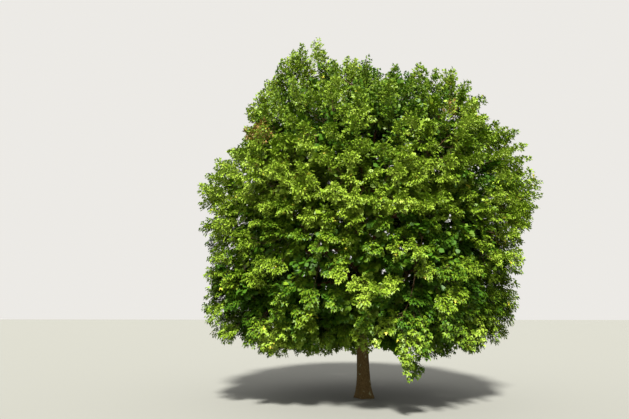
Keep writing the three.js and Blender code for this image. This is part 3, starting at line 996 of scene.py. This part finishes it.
def grow_twig(twigs, leaves, spray, start, direction, length):
    """A twig sags a little under its leaves, which sit on it in pairs, each pair square to the last."""
    end = start + direction * length - UP * (TWIG_SAG * length)
    if not in_space(end, spray["mass"]):
        return
    twigs.append([start, end])
    pairs = max(LEAST_LEAF_PAIRS, round(length / spray["pair_gap"]))
    side = direction.cross(UP + any_way(TWIG_ROLL)).normalized()
    above = side.cross(direction)
    for k in range(pairs):
        root = start.lerp(end, 1 - (k + LAST_PAIR_GAP) / (pairs + 2 * LAST_PAIR_GAP))
        across = side if k % 2 == 0 else above
        for sign in (1, -1):
            stalk = across * sign * STALK_ACROSS + direction * STALK_ALONG + any_way(STALK_TOSS)
            add_leaf(leaves, spray, root, stalk.normalized())


def grow_spray(lines, leaves, mass, arms, spray):
    """A branchlet to the spray's site, with its twigs and leaves. It is narrower towards its tip."""
    if not in_space(spray["site"], mass):
        return
    site, growth, upright = spray["site"], spray["growth"], spray["upright"]
    places = [along + toss(BRANCHLET_STRAY) for along in BRANCHLET_PLACES]
    aim = site - growth * BRANCHLET_AIM + any_way(BRANCHLET_STRAY)
    start = cheapest_place(aim, arms, places, BRANCHLET_TURN_COST)["start"]
    reach = (site - start).length
    control = site - growth * BRANCHLET_ARCH * reach
    lines["branchlets"].append(curve_points(start, control, site, even_shares(BRANCHLET_STEPS)))
    route = bent_route(start, control, site)
    leafy = min(spray["long"], SPRAY_LEAFY_SHARE * reach)
    spray["mass"] = mass
    spray["middle"] = point_at(route, 1 - SPRAY_MIDDLE * leafy / reach) - UP * SPRAY_MIDDLE_LOW
    spray["tone"] = tone_with_painted_light_of_spray(site, spray["depth"])
    side = growth.cross(UP + any_way(SPRAY_ROLL))
    side = (side + any_way(upright)).normalized()
    for k in range(spray["pairs"]):
        share = (k + chance.uniform(*TWIG_PLACES)) / spray["pairs"]
        along = 1 - share * leafy / reach
        node = point_at(route, along)
        tangent = tangent_at(route, along)
        width = math.sin(math.pi * share * TWIG_LONGEST_SHARE)
        length = (TWIG_LENGTHS[0] + (TWIG_LENGTHS[1] - TWIG_LENGTHS[0]) * width) * spray["twig_share"]
        across = (side - tangent * side.dot(tangent)).normalized()
        if k % 2 == 1 and chance.random() < SPRAY_ROUND + (1 - SPRAY_ROUND) * upright:
            across = across.cross(tangent)
        for sign in (1, -1):
            spread = math.radians(TWIG_SPREAD + toss(TWIG_SPREAD_TOSS))
            direction = tangent * math.cos(spread) + across * (sign * math.sin(spread)) + any_way(TWIG_TOSS)
            twig_length = length * chance.uniform(*TWIG_SIZES)
            grow_twig(lines["twigs"], leaves, spray, node, direction.normalized(), twig_length)
    end_way = (growth + any_way(END_TWIG_TOSS)).normalized()
    grow_twig(lines["twigs"], leaves, spray, site, end_way, TWIG_LENGTHS[0])


# Masses of foliage: a mass bears a shell of sprays in the sun, spread evenly over the crown's outer
# form, with sprays of fewer, larger leaves in its shade and some more at its core. The shell is
# lumpy, and it sinks between the masses and in the crown's hollows.

SITE_SPACING = 0.31
SITE_REACH = 0.98
SITE_DEPTH = 0.12
VALLEY_DEEP = 0.14
CLUMP_WIDE = 0.62
CLUMP_DEEP = 0.38
HOLLOW_DEEP = 0.6
CREST_PROUD = 0.1
CREST_EVEN = 0.6
SHADED_SHELLS = [
    {"spacing": 0.31, "depths": (0.45, 1.4)},
    {"spacing": 0.8, "depths": (1.4, 2.5)},
]


def site_depth(way, share):
    place = CROWN_MIDDLE + way * crown_reach(way)
    proud = on_spots(place, crest_lines)
    clump = (0.5 - noise.noise(way * (crown_reach(way) / CLUMP_WIDE))) * (1 - CREST_EVEN * proud)
    depth = VALLEY_DEEP * share**2 + SITE_DEPTH * chance.random() + CLUMP_DEEP * max(0, clump)
    depth += HOLLOW_DEEP * on_spots(place, hollow_lines) - CREST_PROUD * proud
    return depth


def grow_mass(mass):
    """The stem of a mass, the lines of its wood, and its leaves in the sun and in the shade."""
    chance.seed(FIRST_SEED + mass)
    stem = stem_of(mass)
    arms = arms_of(mass, stem)
    lines = {"arms": [arm["line"] for arm in arms], "branchlets": [], "twigs": []}
    leaves = []
    shade_leaves = []
    for way, share in spread_ways(mass, SITE_SPACING, SITE_REACH):
        grow_spray(lines, leaves, mass, arms, outer_spray(way, site_depth(way, share)))
    for shell in SHADED_SHELLS:
        for way, _ in spread_ways(mass, shell["spacing"], SITE_REACH):
            depth = chance.uniform(*shell["depths"])
            grow_spray(lines, shade_leaves, mass, arms, shaded_spray(way, depth))
    for tip, upwards in leader_tips:
        grow_spray(lines, leaves, mass, arms, leader(tip, upwards))
    return stem, lines, leaves, shade_leaves


# Twigs, stems and arms are tubes of few sides. No line runs along the odd way, which sets where a
# tube's first side lies.
STEM_SIDES = 10
ARM_SIDES = 6
TWIG_SIDES = 3
ODD_WAY = (0.31, 0.17, 0.94)


def tubes(lines, base, tip, sides):
    """Points and triangles of tapering tubes along lines that all have the same number of points."""
    points = np.array([[tuple(p) for p in line] for line in lines])
    count, rings = points.shape[:2]
    tangents = np.gradient(points, axis=1)
    tangents /= np.linalg.norm(tangents, axis=2, keepdims=True)
    level = np.cross(tangents[:, :1], ODD_WAY)
    across = level / np.linalg.norm(level, axis=2, keepdims=True)
    front = np.cross(tangents, across)
    front /= np.linalg.norm(front, axis=2, keepdims=True)
    side = np.cross(front, tangents)
    radii = np.linspace(base, tip, rings)[None, :, None, None]
    angles = np.arange(sides) * 2 * math.pi / sides
    around = side[:, :, None] * np.cos(angles)[:, None] + front[:, :, None] * np.sin(angles)[:, None]
    vertices = (points[:, :, None] + around * radii).reshape(-1, 3)
    ring, corner = np.meshgrid(np.arange(rings - 1), np.arange(sides), indexing="ij")
    here = ring * sides + corner
    beside = ring * sides + (corner + 1) % sides
    wall = np.stack([here, beside, beside + sides, here, beside + sides, here + sides], axis=-1)
    last = (rings - 1) * sides + np.arange(1, sides - 1)
    cap = np.stack([np.full(sides - 2, (rings - 1) * sides), last, last + 1], axis=-1)
    triangles = np.concatenate([wall.reshape(-1, 3), cap])
    triangles = (triangles[None] + np.arange(count)[:, None, None] * rings * sides).reshape(-1, 3)
    return vertices, triangles


def joined(parts):
    """One set of points and triangles from several."""
    starts = np.cumsum([0] + [len(part[0]) for part in parts])
    vertices = np.concatenate([part[0] for part in parts])
    return vertices, np.concatenate([part[1] + start for part, start in zip(parts, starts)])


def joined_piece(name, vertices, triangles, materials, slots=None):
    """A piece made from arrays, with the material of each triangle where there are several."""
    mesh = bpy.data.meshes.new(name)
    mesh.vertices.add(len(vertices))
    mesh.vertices.foreach_set("co", vertices.astype(np.float32).ravel())
    mesh.loops.add(3 * len(triangles))
    mesh.loops.foreach_set("vertex_index", triangles.astype(np.int32).ravel())
    mesh.polygons.add(len(triangles))
    mesh.polygons.foreach_set("loop_start", np.arange(0, 3 * len(triangles), 3, dtype=np.int32))
    for material in materials:
        mesh.materials.append(material)
    if slots is not None:
        mesh.polygons.foreach_set("material_index", slots.astype(np.int32))
    mesh.update(calc_edges=True)
    mesh.validate()
    piece = bpy.data.objects.new(name, mesh)
    bpy.context.scene.collection.objects.link(piece)
    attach(piece, "root")
    return piece


# Young maple bark is smooth, thin and faintly waxy, red-brown with olive where it sees the sun.
twig_bark, shader = new_material("young_maple_bark")
shader.inputs["Base Color"].default_value = colour("#524024")
shader.inputs["Roughness"].default_value = 0.62
shader.inputs["Specular IOR Level"].default_value = 0.35

for mass in range(HUB_COUNT):
    stem, lines, leaves, shade_leaves = grow_mass(mass)
    stem_line = [point_of_stem(stem, share) for share in even_shares(STEM_STEPS)]
    vertices, triangles = joined([
        tubes([stem_line], stem["radius"], STEM_END, STEM_SIDES),
        tubes(lines["arms"], ARM_BASE, ARM_TIP, ARM_SIDES),
        tubes(lines["branchlets"], BRANCHLET_BASE, BRANCHLET_TIP, TWIG_SIDES),
        tubes(lines["twigs"], TWIG_RADIUS, TWIG_RADIUS / 2, TWIG_SIDES),
    ])
    twigs = joined_piece(f"twigs_{mass:02d}", vertices, triangles, [twig_bark])
    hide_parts(f"foliage_{mass:02d}")
    kinds = [leaf_mesh(leaves, BLADE), leaf_mesh(shade_leaves, SHADE_BLADE)]
    vertices, triangles = joined(kinds)
    tones = np.concatenate([kind[2] for kind in kinds])
    foliage = joined_piece(f"leaves_{mass:02d}", vertices, triangles, leaf_materials, tones)
    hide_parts(f"foliage_{mass:02d}")


# Studio: a plain pale floor under a soft high light from behind the viewer, with a pale surround. The
# floor's paint is matt, so that it shows the tree's shadow and no reflection.

FLOOR_HALF = 150
LIGHT_HEIGHT = 48
LIGHT_TURN = 2
LIGHT_SOFTNESS = 8
LIGHT_TINT = (1.0, 0.97, 0.9)
SURROUND_TINT = (1.0, 0.98, 0.94, 1.0)

floor_mesh = bpy.data.meshes.new("floor")
bm = bmesh.new()
bmesh.ops.create_grid(bm, x_segments=1, y_segments=1, size=FLOOR_HALF)
bm.to_mesh(floor_mesh)
bm.free()
floor = bpy.data.objects.new("floor", floor_mesh)
bpy.context.scene.collection.objects.link(floor)
floor_paint, shader = new_material("floor_paint")
shader.inputs["Base Color"].default_value = colour("#7f807b")
shader.inputs["Roughness"].default_value = 0.9
floor_mesh.materials.append(floor_paint)

sun = bpy.data.lights.new("key", "SUN")
sun.energy = 10.0
sun.angle = math.radians(LIGHT_SOFTNESS)
sun.color = LIGHT_TINT
key = bpy.data.objects.new("key", sun)
key.rotation_euler = (math.radians(90 - LIGHT_HEIGHT), 0, math.radians(LIGHT_TURN))
bpy.context.scene.collection.objects.link(key)

world = bpy.data.worlds.new("surround")
world.use_nodes = True
bpy.context.scene.world = world
surround = world.node_tree.nodes["Background"]
surround.inputs["Color"].default_value = SURROUND_TINT
surround.inputs["Strength"].default_value = 0.84
bpy.context.scene.view_settings.view_transform = "Standard"
